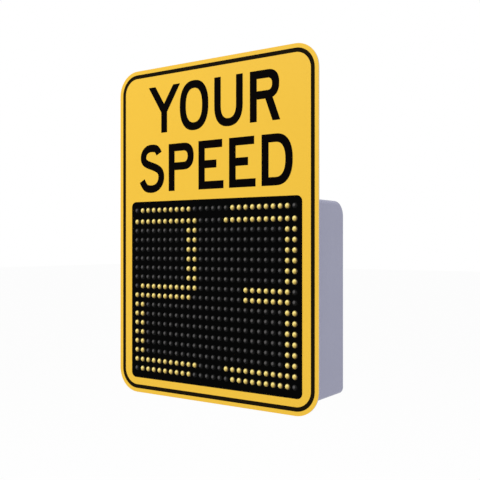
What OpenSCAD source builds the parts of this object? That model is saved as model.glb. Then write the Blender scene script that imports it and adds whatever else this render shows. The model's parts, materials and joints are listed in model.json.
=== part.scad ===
// Radar speed sign: a sign plate with a dot-matrix display window and a closed housing behind it.
// Millimetres. The front faces -Y, +X is to the right seen from the front, and +Z is up.
// The origin is the centre of the four post slots, on the rear faces of the two mounting rails.

/* [Sign plate] */
// Width of the sign plate
plate_w = 762; // [720:1:920]
// Height of the sign plate
plate_h = 1067; // [880:1:1400]
// Thickness of the sign plate
plate_t = 3.2; // [2:0.1:5]
// Corner radius of the sign plate
plate_corner_r = 76.2; // [20:0.1:110]

/* [Pixels] */
// Number of pixel columns, shared by two boards
pixel_cols = 26; // [14:2:28]
// Number of pixel rows, shared by three boards
pixel_rows = 18; // [9:3:24]
// Distance between pixel columns
pixel_pitch_x = 24.25; // [20.2:0.05:26]
// Distance between pixel rows
pixel_pitch_z = 30.3; // [24:0.1:36]
// Distance from the top row to the second one
top_row_gap = 37; // [24:0.5:44]
// Diameter of a pixel lens
lens_d = 18; // [12:0.1:18.8]
// Width of the lens's rear collar beyond its neck
lens_collar_w = 1; // [0.5:0.1:1.5]
// Thickness of the lens's rear collar
lens_collar_t = 1.5; // [1:0.1:3]
// Diameter of an LED
led_d = 5; // [3:0.5:6]
// Height of an LED above its board
led_h = 4; // [2:0.5:6]

/* [Display window] */
// From the outer pixel columns to the window's sides
window_side = 22.5; // [18:0.5:26]
// From the top pixel row to the window's top edge
window_top = 27; // [18:0.5:40]
// From the lowest pixel row to the window's bottom edge
window_bottom = 30; // [18:0.5:40]
// From the plate's bottom edge up to the window
window_sill = 51; // [48:1:90]
// Corner radius of the window
window_corner_r = 12; // [4:0.5:24]
// Thickness of the mask's flange behind the plate
mask_flange_t = 2.5; // [2:0.1:4]

/* [Housing] */
// From the plate's face to the housing's back
housing_depth = 221; // [184:1:270]
// From the plate's side edges in to the housing's sides
housing_inset = 31; // [28:0.5:34]
// From the top pixel row up to the housing's top
housing_above = 20.5; // [18:0.5:40]
// From the lowest pixel row down to the housing's underside
housing_below = 45.5; // [44:0.5:50]
// Wall thickness of the housing
tub_t = 3; // [2:0.1:4]
// Radius of the housing's front-to-back edges
tub_corner_r = 34; // [32:0.5:50]
// Radius of the housing's rear edges
tub_back_r = 30; // [12:0.5:31]
// Inner radius where the flange meets the wall
tub_flange_r = 5; // [2:0.5:6]
// Flange width at the sides and at the bottom
flange_side = 22; // [20:0.5:24]
// Flange width at the top
flange_top = 34; // [30:0.5:50]
// Thickness of the foam ring under the flange
gasket_t = 2; // [1:0.1:4]

/* [Mounting rails] */
// Depth of a rail, from the housing's back to the post
rail_depth = 25; // [21:0.5:40]
// Sheet thickness of a rail
rail_t = 3; // [2:0.1:4]
// Length of a rail
rail_l = 560; // [520:1:640]
// Height of a rail's raised face
rail_face_h = 50; // [40:1:60]
// Width of a rail's bolted flanges
rail_flange_w = 21; // [20:0.5:26]
// Distance between the two rails
rail_spacing = 400; // [333:1:420]
// Distance between a rail's two slots
slot_spacing = 110; // [70:1:200]
// Length of a slot, end to end
slot_l = 40; // [20:1:60]
// Width of a slot
slot_w = 11; // [9:0.5:14]

/* [Battery] */
// Length of the battery
battery_l = 181; // [150:1:218]
// Depth of the battery
battery_d = 77; // [60:1:93]
// Height of the battery's case
battery_h = 167; // [130:1:201]

/* [Hidden] */
$fn = 48;

// Clearances: around a part in its cut-out, around a lens, around a shank and in a tapped hole
cut_gap = 0.4;
lens_gap = 0.15;
shank_gap = 0.2;
tap_gap = 0.05;

// Field of pixels and window
field_w = (pixel_cols - 1) * pixel_pitch_x;
field_h = top_row_gap + (pixel_rows - 2) * pixel_pitch_z;
window_w = field_w + 2 * window_side;
window_h = field_h + window_top + window_bottom;

// Housing, centred on the origin in X and Z
tub_w = plate_w - 2 * housing_inset;
tub_h = field_h + housing_above + housing_below;
low_row_z = housing_below - tub_h / 2;
window_z = low_row_z - window_bottom + window_h / 2;
plate_z = low_row_z - window_bottom - window_sill + plate_h / 2;

// Planes from front to back
face_y = -rail_depth - housing_depth;
mask_rear_y = face_y + plate_t + mask_flange_t;
board_y = mask_rear_y + lens_collar_t;
flange_y = mask_rear_y + gasket_t;
back_y = -rail_depth;
inner_back_y = back_y - tub_t;
floor_z = tub_t - tub_h / 2;

// Flange outline, shared by mask, gasket and housing
flange_w = tub_w + 2 * flange_side;
flange_h = tub_h + flange_side + flange_top;
flange_z = (flange_top - flange_side) / 2;
flange_r = tub_corner_r + flange_side;

// Weld studs and their nuts, M5
stud_d = 5;
stud_foot_d = 6.2;
stud_foot_t = 0.7;
stud_inset = 11;
studs_across = 5;
studs_down = 5;
m5_nut_af = 8;
m5_nut_h = 4;
m5_washer_d = 12;
m5_washer_t = 1;
stud_x = flange_w / 2 - stud_inset;
stud_top = flange_z + flange_h / 2 - stud_inset;
stud_low = flange_z - flange_h / 2 + stud_inset;
stud_end_y = flange_y + tub_t + m5_washer_t + m5_nut_h + 3;
stud_row_x = stud_x - flange_r;
stud_row_low = stud_low + flange_r;
stud_row_top = stud_top - flange_r;
stud_places = concat(
    [for (i = [0:studs_across - 1], z = [stud_low, stud_top])
        [-stud_row_x + i * 2 * stud_row_x / (studs_across - 1), z]],
    [for (i = [0:studs_down - 1], x = [-stud_x, stud_x])
        [x, stud_row_low + i * (stud_row_top - stud_row_low) / (studs_down - 1)]]
);

// Boards: two across and three down
boards_across = 2;
boards_down = 3;
board_cols = pixel_cols / boards_across;
board_rows = pixel_rows / boards_down;
board_t = 1.6;
board_edge = 10;
board_gap = 1;

// M3 screws of the boards and of the radar bracket
m3_d = 3;
m3_head_d = 5.6;
m3_head_h = 2;
m3_grip = 3.8;
m3_hole_depth = 4.2;
spacer_d = 7;

// Rail bolts, M8
m8_d = 8;
m8_af = 13;
m8_head_h = 5.3;
m8_nut_h = 6.5;
m8_washer_d = 16;
m8_washer_t = 1.6;
rail_bend_r = 3;
rail_foot_z = rail_face_h / 2 + rail_bend_r + rail_flange_w / 2;
rail_bolt_inset = 50;
rail_bolt_x = rail_l / 2 - rail_bolt_inset;
rail_bolt_places = [
    for (rail = [-1, 1], foot = [-1, 1], side = [-1, 1])
        [side * rail_bolt_x, rail * rail_spacing / 2 + foot * rail_foot_z]
];

// Backing bars and the chassis that stands on them
bar_t = 3;
bar_y = inner_back_y - bar_t;
bar_l = rail_l - 40;
bar_h = 2 * rail_foot_z + 24;
standoff_l = 14;
standoff_af = 10;
standoff_x = bar_l / 2 - 10;
m5_screw_head_d = 9;
m5_screw_head_h = 3.5;
chassis_t = 2;
chassis_w = 560;
chassis_h = rail_spacing + 80;
chassis_lip = 15;
chassis_bend_r = 2;
chassis_y = bar_y - standoff_l;
deck_y = chassis_y - chassis_t;
standoff_places = [for (x = [-standoff_x, standoff_x], z = [-rail_spacing / 2, rail_spacing / 2]) [x, z]];

// M4 screws that hold the parts on the deck
m4_d = 4;
m4_head_d = 7.6;
m4_head_h = 2.6;
m4_l = 8;

// Battery on its shelf
battery_edge_r = 4;
battery_lid_h = 14;
battery_lid_groove = 0.6;
battery_pocket = [22, 20, 9];
battery_post = [3, 12, 7];
tray_t = 1.5;
tray_lip = 18;
tray_foot = 22;
battery_x = -150;
shelf_z = 30 - chassis_h / 2;
battery_rear_y = deck_y - tray_t - cut_gap;
battery_front_y = battery_rear_y - battery_d;
battery_gap = 0.3;
strap_t = 1.2;
strap_h = 25;
strap_foot = 18;
strap_bend_r = 2;
strap_z = shelf_z + 0.6 * battery_h;
strap_half = battery_l / 2 + battery_gap;

// Control parts on the chassis
din_l = 220;
din_x = 130;
din_z = -20;
din_depth = 7.5;
din_t = 1;
din_half = 17.5;
din_web_half = 12.5;
din_screw_inset = 8;
clip_t = 2;
clip_gap = 0.3;
clip_grip = 3;
terminal_ways = 8;
terminal_pitch = 8;
terminal_gap = 0.1;
terminal_h = 44;
terminal_top_h = 28;
terminal_d = 32;
terminal_shoulder = 12;
terminal_x = din_x - 90;
fuse_x = din_x + 10;
fuse_w = 18;
fuse_h = 60;
fuse_d = 40;
control_w = 200;
control_h = 130;
control_x = 130;
control_z = 110;
control_post_l = 10;
control_post_d = 6;
control_inset = 6;
control_places = [
    for (x = [-1, 1], z = [-1, 1])
        [control_x + x * (control_w / 2 - control_inset), control_z + z * (control_h / 2 - control_inset)]
];
charger_w = 130;
charger_h = 95;
charger_x = 130;
charger_z = -150;
charger_ear = 12;
charger_ear_t = 2.5;
charger_base_d = 28;
charger_fins = 9;
charger_fin_t = 3;
charger_fin_h = 12;

// Where M4 screws go through the deck, and how far in front of it their heads sit
tray_screw_places = [for (s = [-1, 1]) [battery_x + s * battery_l / 3, shelf_z - tray_foot / 2]];
strap_screw_places = [
    for (s = [-1, 1])
        [battery_x + s * (strap_half + strap_bend_r + strap_t + strap_foot / 2), strap_z + strap_h / 2]
];
din_screw_places = [for (s = [-1, 1]) [din_x + s * (din_l / 2 - din_screw_inset), din_z]];
charger_screw_places = [
    for (x = [-1, 1], z = [-1, 1])
        [charger_x + x * (charger_w + charger_ear) / 2, charger_z + z * charger_h / 3]
];
deck_screw_rows = [
    [tray_screw_places, tray_t],
    [strap_screw_places, strap_t],
    [din_screw_places, din_t],
    [charger_screw_places, charger_ear_t]
];

// Radar unit behind the strip under the lowest pixels
radar_w = 100;
radar_h = 19;
radar_d = 14;
radar_z = low_row_z - board_edge - 2 - radar_h / 2;
radar_sheet = 1.5;
radar_ear = 18;
radar_screw_x = radar_w / 2 + cut_gap + radar_sheet + radar_ear / 2;

// Gland and vents in the underside
gland_x = -200;
gland_y = -130;
gland_d = 20;
gland_af = 24;
gland_hex_h = 6;
gland_bore = 10;
gland_body_bore = 14;
gland_neck_d = 18;
gland_neck_l = 10;
gland_nut_h = 4;
gland_top = tub_t + gland_nut_h + 3;
gland_seal_h = 5;
gland_cap_h = 5;
vent_x = [120, 200];
vent_d = 12;
vent_head_d = 19;
vent_head_h = 5;

// Place of a pixel column and of a pixel row, counted from 0 at the top left
function col_x(c) = c * pixel_pitch_x - field_w / 2;
function row_z(r) = low_row_z + field_h - (r == 0 ? 0 : top_row_gap + (r - 1) * pixel_pitch_z);
function mid_x(c) = (col_x(c) + col_x(c + 1)) / 2;
function mid_z(r) = (row_z(r) + row_z(r + 1)) / 2;

// Lit pixels: two digits of bars two pixels thick, a 2 on the left and a 3 on the right
digit_bars = [[0, 1], [8, 9], [16, 17]];
function within(v, lo, hi) = v >= lo && v <= hi;
function upper_half(r) = within(r, 2, 7);
function lower_half(r) = within(r, 10, 15);
function bar_row(r) = len([for (b = digit_bars) if (within(r, b[0], b[1])) 1]) > 0;
function two_bar(c, r) = within(c,
    r == 0 || r == 8 || r == 17 ? 1 : 0,
    r == 0 || r == 9 || r == 17 ? 9 : 10);
function three_bar(c, r) = within(c,
    r == 0 || r == 17 ? 16 : within(r, 8, 9) ? 18 : 15,
    within(r, 8, 9) || r == 0 || r == 17 ? 24 : 25);
function lit_two(c, r) = bar_row(r) ? two_bar(c, r)
    : upper_half(r) ? within(c, 9, 10)
    : lower_half(r) && within(c, 0, 1);
function lit_three(c, r) = bar_row(r) ? three_bar(c, r) : within(c, 24, 25);
function lit(c, r) = c < pixel_cols / 2 ? lit_two(c, r) : lit_three(c, r);

// Rounded rectangle, centred
module round_rect(w, h, r) {
    square([w - 2 * r, h], center = true);
    square([w, h - 2 * r], center = true);
    for (x = [-1, 1], y = [-1, 1])
        translate([x * (w / 2 - r), y * (h / 2 - r)])
            circle(r);
}

// Slot, centred, along its first axis
module slot_outline(l, w) {
    square([l - w, w], center = true);
    for (x = [-1, 1])
        translate([x * (l - w) / 2, 0])
            circle(d = w);
}

// A flat outline drawn in X and Z, given a thickness from y towards the rear
module slab(y, t) {
    translate([0, y + t, 0])
        rotate([90, 0, 0])
            linear_extrude(t)
                children();
}

// Turns a shape made along +Z to point to the rear, at x, y, z
module rearward(x, y, z) {
    translate([x, y, z])
        rotate([-90, 0, 0])
            children();
}

// Quarter of a bent sheet's section, between its inner radius and r + t, in the quadrant of +x and +y
module bend(r, t) {
    intersection() {
        difference() {
            circle(r + t);
            circle(r);
        }
        square(r + t);
    }
}

module nut(af, h, bore) {
    difference() {
        cylinder(d = af / cos(30), h = h, $fn = 6);
        translate([0, 0, -1])
            cylinder(d = bore, h = h + 2);
    }
}

module washer(od, id, t) {
    difference() {
        cylinder(d = od, h = t);
        translate([0, 0, -1])
            cylinder(d = id, h = t + 2);
    }
}

// Pan-head screw whose head stands on z = 0 and whose shank runs down
module pan_screw(d, head_d, head_h, l) {
    cylinder(d = head_d, h = head_h);
    translate([0, 0, -l])
        cylinder(d = d, h = l);
}

module flange_outline(inset = 0) {
    translate([0, flange_z])
        round_rect(flange_w - 2 * inset, flange_h - 2 * inset, flange_r - inset);
}

module stud_holes(d) {
    for (p = stud_places)
        translate(p)
            circle(d = d);
}

module sign_plate() {
    color("#f4c444")
        slab(face_y, plate_t)
            difference() {
                translate([0, plate_z])
                    round_rect(plate_w, plate_h, plate_corner_r);
                translate([0, window_z])
                    round_rect(window_w, window_h, window_corner_r);
            }
}

module flange_studs() {
    color("silver")
        for (p = stud_places)
            rearward(p[0], face_y + plate_t, p[1]) {
                cylinder(d = stud_foot_d, h = stud_foot_t);
                cylinder(d = stud_d, h = stud_end_y - face_y - plate_t);
            }
}

// Every board screw's place: six a board, each between four pixels
board_screw_cols = [
    for (b = [0:boards_across - 1], c = [0, floor(board_cols / 2), board_cols - 2]) b * board_cols + c
];
board_screw_rows = [for (b = [0:boards_down - 1], r = [0, board_rows - 2]) b * board_rows + r];
board_screw_places = [for (c = board_screw_cols, r = board_screw_rows) [mid_x(c), mid_z(r)]];

module display_mask() {
    color("#0a0a0b")
        difference() {
            union() {
                slab(face_y, plate_t)
                    difference() {
                        translate([0, window_z])
                            round_rect(
                                window_w - 2 * cut_gap,
                                window_h - 2 * cut_gap,
                                window_corner_r - cut_gap
                            );
                        pixel_holes();
                    }
                slab(face_y + plate_t, mask_flange_t)
                    difference() {
                        flange_outline();
                        pixel_holes();
                        stud_holes(stud_foot_d + 2 * shank_gap);
                    }
            }
            for (p = board_screw_places)
                rearward(p[0], mask_rear_y - m3_hole_depth, p[1])
                    cylinder(d = m3_d + 2 * tap_gap, h = m3_hole_depth + 1);
            for (x = [-radar_screw_x, radar_screw_x])
                rearward(x, mask_rear_y - m3_hole_depth, radar_z)
                    cylinder(d = m3_d + 2 * tap_gap, h = m3_hole_depth + 1);
        }
}

module pixel_holes() {
    for (c = [0:pixel_cols - 1], r = [0:pixel_rows - 1])
        translate([col_x(c), row_z(r)])
            circle(d = lens_d + 2 * lens_gap);
}

// Domed lens with a pocket for its LED: axis along +Z, dome down, rear face at z = 0
module pixel_lens() {
    dome_z = face_y - board_y;
    pocket_r = led_d / 2 + 0.8;
    rotate_extrude() {
        intersection() {
            translate([0, dome_z])
                circle(d = lens_d);
            translate([0, dome_z - lens_d / 2])
                square(lens_d / 2);
        }
        translate([0, dome_z])
            square([lens_d / 2, -dome_z - led_h - 2]);
        translate([pocket_r, -led_h - 2])
            square([lens_d / 2 - pocket_r, led_h + 2]);
        translate([lens_d / 2, -lens_collar_t])
            square([lens_collar_w, lens_collar_t]);
    }
}

module pixel_lenses_lit() {
    color("#ffd65a")
        for (c = [0:pixel_cols - 1], r = [0:pixel_rows - 1])
            if (lit(c, r))
                rearward(col_x(c), board_y, row_z(r))
                    pixel_lens();
}

module pixel_lenses_dark() {
    color("#2a2726")
        for (c = [0:pixel_cols - 1], r = [0:pixel_rows - 1])
            if (!lit(c, r))
                rearward(col_x(c), board_y, row_z(r))
                    pixel_lens();
}

// One board with its LEDs, by its column and row among the boards
module led_board(b, k) {
    left = b == 0 ? col_x(0) - board_edge : mid_x(b * board_cols - 1) + board_gap / 2;
    right = b == boards_across - 1 ? col_x(pixel_cols - 1) + board_edge
        : mid_x((b + 1) * board_cols - 1) - board_gap / 2;
    top = k == 0 ? row_z(0) + board_edge : mid_z(k * board_rows - 1) - board_gap / 2;
    low = k == boards_down - 1 ? row_z(pixel_rows - 1) - board_edge
        : mid_z((k + 1) * board_rows - 1) + board_gap / 2;
    slab(board_y, board_t)
        difference() {
            translate([left, low])
                square([right - left, top - low]);
            for (p = board_screw_places)
                translate(p)
                    circle(d = m3_d + 2 * shank_gap);
        }
    for (c = [b * board_cols:(b + 1) * board_cols - 1], r = [k * board_rows:(k + 1) * board_rows - 1])
        rearward(col_x(c), board_y - led_h, row_z(r))
            cylinder(d = led_d, h = led_h + board_t / 2);
}

module led_boards() {
    color("#1f5b3a")
        for (b = [0:boards_across - 1], k = [0:boards_down - 1])
            led_board(b, k);
}

module board_spacers() {
    color("white")
        for (p = board_screw_places)
            rearward(p[0], mask_rear_y, p[1])
                washer(spacer_d, m3_d + 2 * shank_gap, lens_collar_t);
}

module board_screws() {
    color("silver")
        for (p = board_screw_places)
            rearward(p[0], board_y + board_t, p[1])
                pan_screw(m3_d, m3_head_d, m3_head_h, board_t + lens_collar_t + m3_grip);
}

module tub_gasket() {
    color("#303234")
        slab(mask_rear_y, gasket_t)
            difference() {
                flange_outline();
                round_rect(tub_w - 2 * tub_t, tub_h - 2 * tub_t, tub_corner_r - tub_t);
                stud_holes(stud_d + 2 * shank_gap);
            }
}

// Carries a section around the housing's four sides and corners. The section is drawn with x outwards
// from the corners' centres and y to the rear.
module around_tub() {
    cx = tub_w / 2 - tub_corner_r;
    cz = tub_h / 2 - tub_corner_r;
    for (s = [0, 1]) {
        mirror([s, 0, 0])
            translate([cx, 0, -cz])
                linear_extrude(2 * cz)
                    children();
        mirror([0, 0, s])
            rotate([0, -90, 0])
                translate([cz, 0, -cx])
                    linear_extrude(2 * cx)
                        children();
        for (t = [0, 1])
            mirror([s, 0, 0])
                mirror([0, 0, t])
                    translate([cx, 0, -cz])
                        rotate([-90, 0, 0])
                            rotate_extrude(angle = 90)
                                children();
    }
}

// Wall section of the housing: wall, rear bend and the outer part of the back
module tub_section() {
    bend_x = tub_corner_r - tub_back_r;
    bend_y = back_y - tub_back_r;
    translate([tub_corner_r - tub_t, flange_y])
        square([tub_t, bend_y - flange_y]);
    translate([bend_x, bend_y])
        bend(tub_back_r - tub_t, tub_t);
    translate([0, inner_back_y])
        square([bend_x, tub_t]);
    translate([tub_corner_r, flange_y + tub_t])
        difference() {
            square(tub_flange_r);
            translate([tub_flange_r, tub_flange_r])
                circle(tub_flange_r);
        }
}

module enclosure_tub() {
    color("#95969f")
        difference() {
            union() {
                around_tub()
                    tub_section();
                translate([-tub_w / 2 + tub_corner_r, inner_back_y, -tub_h / 2 + tub_corner_r])
                    cube([tub_w - 2 * tub_corner_r, tub_t, tub_h - 2 * tub_corner_r]);
                slab(flange_y, tub_t)
                    difference() {
                        flange_outline();
                        round_rect(tub_w, tub_h, tub_corner_r);
                    }
            }
            slab(flange_y - 1, tub_t + 2)
                stud_holes(stud_d + 2 * shank_gap);
            slab(inner_back_y - 1, tub_t + 2)
                for (p = rail_bolt_places)
                    translate(p)
                        circle(d = m8_d + 2 * shank_gap);
            translate([gland_x, gland_y, -tub_h / 2 - 1])
                cylinder(d = gland_d + 2 * shank_gap, h = tub_t + 2);
            for (x = vent_x)
                translate([x, gland_y, -tub_h / 2 - 1])
                    cylinder(d = vent_d + 2 * shank_gap, h = tub_t + 2);
        }
}

module flange_washers() {
    color("silver")
        for (p = stud_places)
            rearward(p[0], flange_y + tub_t, p[1])
                washer(m5_washer_d, stud_d + 2 * shank_gap, m5_washer_t);
}

module flange_nuts() {
    color("silver")
        for (p = stud_places)
            rearward(p[0], flange_y + tub_t + m5_washer_t, p[1])
                nut(m5_nut_af, m5_nut_h, stud_d + 2 * tap_gap);
}

// Hat section of a rail: x up from its middle, y from the housing's back to the post
module rail_section() {
    turn = rail_bend_r + rail_t;
    wall_x = rail_face_h / 2;
    translate([turn - wall_x, rail_depth - rail_t])
        square([2 * (wall_x - turn), rail_t]);
    for (s = [0, 1])
        mirror([s, 0]) {
            translate([wall_x - turn, rail_depth - turn])
                bend(rail_bend_r, rail_t);
            translate([wall_x - rail_t, turn])
                square([rail_t, rail_depth - 2 * turn]);
            translate([wall_x + rail_bend_r, turn])
                rotate(180)
                    bend(rail_bend_r, rail_t);
            translate([wall_x + rail_bend_r, 0])
                square([rail_flange_w, rail_t]);
        }
}

module rail(z) {
    color("#8d9095")
        difference() {
            translate([-rail_l / 2, back_y, z])
                rotate([0, 90, 0])
                    mirror([1, 0, 0])
                        linear_extrude(rail_l)
                            rail_section();
            for (x = [-slot_spacing / 2, slot_spacing / 2])
                translate([x, 0, z])
                    slab(-rail_t - 1, rail_t + 2)
                        slot_outline(slot_l, slot_w);
            for (x = [-rail_bolt_x, rail_bolt_x], foot = [-1, 1])
                rearward(x, back_y - 1, z + foot * rail_foot_z)
                    cylinder(d = m8_d + 2 * shank_gap, h = rail_t + 2);
        }
}

module upper_rail() {
    rail(rail_spacing / 2);
}

module lower_rail() {
    rail(-rail_spacing / 2);
}

module rail_bolts() {
    grip = rail_t + tub_t + bar_t + 2 * m8_washer_t + m8_nut_h + 2;
    color("silver")
        for (p = rail_bolt_places)
            rearward(p[0], back_y + rail_t + m8_washer_t, p[1]) {
                cylinder(d = m8_af / cos(30), h = m8_head_h, $fn = 6);
                translate([0, 0, -grip])
                    cylinder(d = m8_d, h = grip);
            }
}

module rail_washers() {
    color("silver")
        for (p = rail_bolt_places, y = [back_y + rail_t, bar_y - m8_washer_t])
            rearward(p[0], y, p[1])
                washer(m8_washer_d, m8_d + 2 * shank_gap, m8_washer_t);
}

module rail_nuts() {
    color("silver")
        for (p = rail_bolt_places)
            rearward(p[0], bar_y - m8_washer_t - m8_nut_h, p[1])
                nut(m8_af, m8_nut_h, m8_d + 2 * tap_gap);
}

module backing_bars() {
    color("#8d9095")
        slab(bar_y, bar_t)
            difference() {
                for (z = [-rail_spacing / 2, rail_spacing / 2])
                    translate([0, z])
                        square([bar_l, bar_h], center = true);
                for (p = rail_bolt_places)
                    translate(p)
                        circle(d = m8_d + 2 * shank_gap);
                for (p = standoff_places)
                    translate(p)
                        circle(d = stud_d + 2 * tap_gap);
            }
}

// Hexagonal spacer with a stud in the backing bar and a tapped hole for the chassis screw
module chassis_standoffs() {
    color("gold")
        for (p = standoff_places)
            rearward(p[0], chassis_y, p[1])
                difference() {
                    union() {
                        cylinder(d = standoff_af / cos(30), h = standoff_l, $fn = 6);
                        cylinder(d = stud_d, h = standoff_l + bar_t);
                    }
                    translate([0, 0, -1])
                        cylinder(d = stud_d + 2 * tap_gap, h = standoff_l - 2);
                }
}

// Folded deck: a flat sheet with a lip forward at the top and at the bottom
module chassis_section() {
    turn = chassis_bend_r + chassis_t;
    half = chassis_h / 2;
    translate([turn - half, -chassis_t])
        square([2 * (half - turn), chassis_t]);
    for (s = [0, 1])
        mirror([s, 0]) {
            translate([half - turn, -turn])
                bend(chassis_bend_r, chassis_t);
            translate([half - chassis_t, -chassis_lip])
                square([chassis_t, chassis_lip - turn]);
        }
}

module chassis_plate() {
    color("#b9bcc0")
        difference() {
            translate([-chassis_w / 2, chassis_y, 0])
                rotate([0, 90, 0])
                    mirror([1, 0, 0])
                        linear_extrude(chassis_w)
                            chassis_section();
            slab(deck_y - 1, chassis_t + 2) {
                for (p = standoff_places)
                    translate(p)
                        circle(d = stud_d + 2 * shank_gap);
                for (p = control_places)
                    translate(p)
                        circle(d = m3_d + 2 * tap_gap);
                for (row = deck_screw_rows, p = row[0])
                    translate(p)
                        circle(d = m4_d + 2 * tap_gap);
            }
        }
}

module chassis_screws() {
    color("silver")
        for (p = standoff_places)
            rearward(p[0], deck_y, p[1])
                mirror([0, 0, 1])
                    pan_screw(stud_d, m5_screw_head_d, m5_screw_head_h, chassis_t + 8);
}

// Sealed battery: a case with round upright edges and a joint line under its lid, and a tab in each pocket
module battery() {
    color("#26282b")
        translate([battery_x, battery_front_y + battery_d / 2, shelf_z]) {
            difference() {
                linear_extrude(battery_h)
                    round_rect(battery_l, battery_d, battery_edge_r);
                translate([0, 0, battery_h - battery_lid_h])
                    linear_extrude(2 * battery_lid_groove)
                        difference() {
                            square([battery_l + 2, battery_d + 2], center = true);
                            round_rect(
                                battery_l - 2 * battery_lid_groove,
                                battery_d - 2 * battery_lid_groove,
                                battery_edge_r - battery_lid_groove
                            );
                        }
                for (s = [-1, 1])
                    translate([
                        s * (battery_l - battery_pocket[0]) / 2,
                        (battery_pocket[1] - battery_d) / 2,
                        battery_h
                    ])
                        cube(
                            [battery_pocket[0] + 1, battery_pocket[1] + 1, 2 * battery_pocket[2]],
                            center = true
                        );
            }
            for (s = [-1, 1])
                translate([
                    s * (battery_l / 2 - battery_pocket[0] / 2) - battery_post[0] / 2,
                    (battery_pocket[1] - battery_d - battery_post[1]) / 2,
                    battery_h - battery_pocket[2] - 1
                ])
                    cube([battery_post[0], battery_post[1], battery_post[2] + 1]);
        }
}

// Shelf section in Y and Z: a foot down the deck, the shelf forward, and a front lip
module battery_tray() {
    depth = battery_d + 2 * cut_gap;
    color("#b9bcc0")
        difference() {
            translate([battery_x - battery_l / 2 - 2, deck_y, shelf_z])
                rotate([90, 0, 90])
                    linear_extrude(battery_l + 4) {
                        translate([-tray_t, -tray_foot])
                            square([tray_t, tray_foot]);
                        translate([-depth - 2 * tray_t, -tray_t])
                            square([depth + 2 * tray_t, tray_t]);
                        translate([-depth - 2 * tray_t, 0])
                            square([tray_t, tray_lip]);
                    }
            for (p = tray_screw_places)
                rearward(p[0], deck_y - tray_t - 1, p[1])
                    cylinder(d = m4_d + 2 * shank_gap, h = tray_t + 2);
        }
}

// Steel strap bent round the battery's front, with a foot on the deck at each side
module battery_strap() {
    reach = deck_y - battery_front_y + battery_gap;
    turn = strap_bend_r + strap_t;
    color("#6f7378")
        difference() {
            translate([battery_x, deck_y, strap_z])
                linear_extrude(strap_h)
                    for (s = [0, 1])
                        mirror([s, 0]) {
                            translate([0, -reach - strap_t])
                                square([strap_half - strap_bend_r, strap_t]);
                            translate([strap_half - strap_bend_r, strap_bend_r - reach])
                                mirror([0, 1])
                                    bend(strap_bend_r, strap_t);
                            translate([strap_half, strap_bend_r - reach])
                                square([strap_t, reach - strap_bend_r - turn]);
                            translate([strap_half + turn, -turn])
                                mirror([1, 0])
                                    bend(strap_bend_r, strap_t);
                            translate([strap_half + turn, -strap_t])
                                square([strap_foot, strap_t]);
                        }
            for (p = strap_screw_places)
                rearward(p[0], deck_y - strap_t - 1, p[1])
                    cylinder(d = m4_d + 2 * shank_gap, h = strap_t + 2);
        }
}

module deck_screws() {
    color("silver")
        for (row = deck_screw_rows, p = row[0])
            rearward(p[0], deck_y - row[1], p[1])
                mirror([0, 0, 1])
                    pan_screw(m4_d, m4_head_d, m4_head_h, m4_l);
}

// Top-hat rail, 35 mm high: x up, y from the deck forward
module din_section() {
    translate([-din_web_half, -din_t])
        square([2 * din_web_half, din_t]);
    for (s = [0, 1])
        mirror([s, 0]) {
            translate([din_web_half - din_t, -din_depth])
                square([din_t, din_depth - din_t]);
            translate([din_web_half, -din_depth])
                square([din_half - din_web_half, din_t]);
        }
}

module din_rail() {
    color("#c9ccd0")
        difference() {
            translate([din_x - din_l / 2, deck_y, din_z])
                rotate([0, 90, 0])
                    mirror([1, 0, 0])
                        linear_extrude(din_l)
                            din_section();
            for (p = din_screw_places)
                rearward(p[0], deck_y - din_t - 1, p[1])
                    cylinder(d = m4_d + 2 * shank_gap, h = din_t + 2);
        }
}

// Body on the rail, from x, w wide: its section is drawn with x up and y from the rail's lips to the rear.
// A hook behind each lip holds it.
module rail_clip_body(x, w) {
    translate([x, deck_y - din_depth, din_z])
        rotate([0, 90, 0])
            mirror([1, 0, 0])
                linear_extrude(w) {
                    children();
                    for (s = [0, 1])
                        mirror([s, 0]) {
                            translate([din_half + clip_gap, -1])
                                square([clip_t, din_t + clip_gap + clip_t + 1]);
                            translate([din_half - clip_grip, din_t + clip_gap])
                                square([clip_grip + clip_gap + clip_t, clip_t]);
                        }
                }
}

// One terminal: a narrow front with its screws, and shoulders where the wires go in
module terminal(x) {
    screw_z = terminal_top_h / 2 - 5;
    wire_z = terminal_h / 2 - 5.4;
    shoulder_y = terminal_shoulder - terminal_d;
    difference() {
        rail_clip_body(x, terminal_pitch - terminal_gap)
            polygon([
                [-terminal_h / 2, 0],
                [-terminal_h / 2, shoulder_y],
                [-terminal_top_h / 2, -terminal_d],
                [terminal_top_h / 2, -terminal_d],
                [terminal_h / 2, shoulder_y],
                [terminal_h / 2, 0]
            ]);
        for (z = [-screw_z, screw_z])
            rearward(x + terminal_pitch / 2, deck_y - din_depth - terminal_d - 1, din_z + z)
                cylinder(d = 4.5, h = 9);
        for (z = [-wire_z, wire_z])
            rearward(x + terminal_pitch / 2, deck_y - din_depth - terminal_d, din_z + z)
                cylinder(d = 4, h = terminal_shoulder + 8);
    }
}

module terminal_block() {
    color("#9fa3a8")
        for (i = [0:terminal_ways - 1])
            terminal(terminal_x + i * terminal_pitch);
}

// Fuse carrier with a finger grip on its drawer
module fuse_holder() {
    grip = [12, 8, 20];
    color("#3a3d40") {
        rail_clip_body(fuse_x, fuse_w)
            translate([-fuse_h / 2, -fuse_d])
                square([fuse_h, fuse_d]);
        translate([
            fuse_x + (fuse_w - grip[0]) / 2,
            deck_y - din_depth - fuse_d - grip[1],
            din_z - grip[2] / 2
        ])
            difference() {
                cube([grip[0], grip[1] + 1, grip[2]]);
                for (i = [1:4])
                    translate([-1, -1, i * grip[2] / 5 - 0.5])
                        cube([grip[0] + 2, 2, 1]);
            }
    }
}

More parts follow.
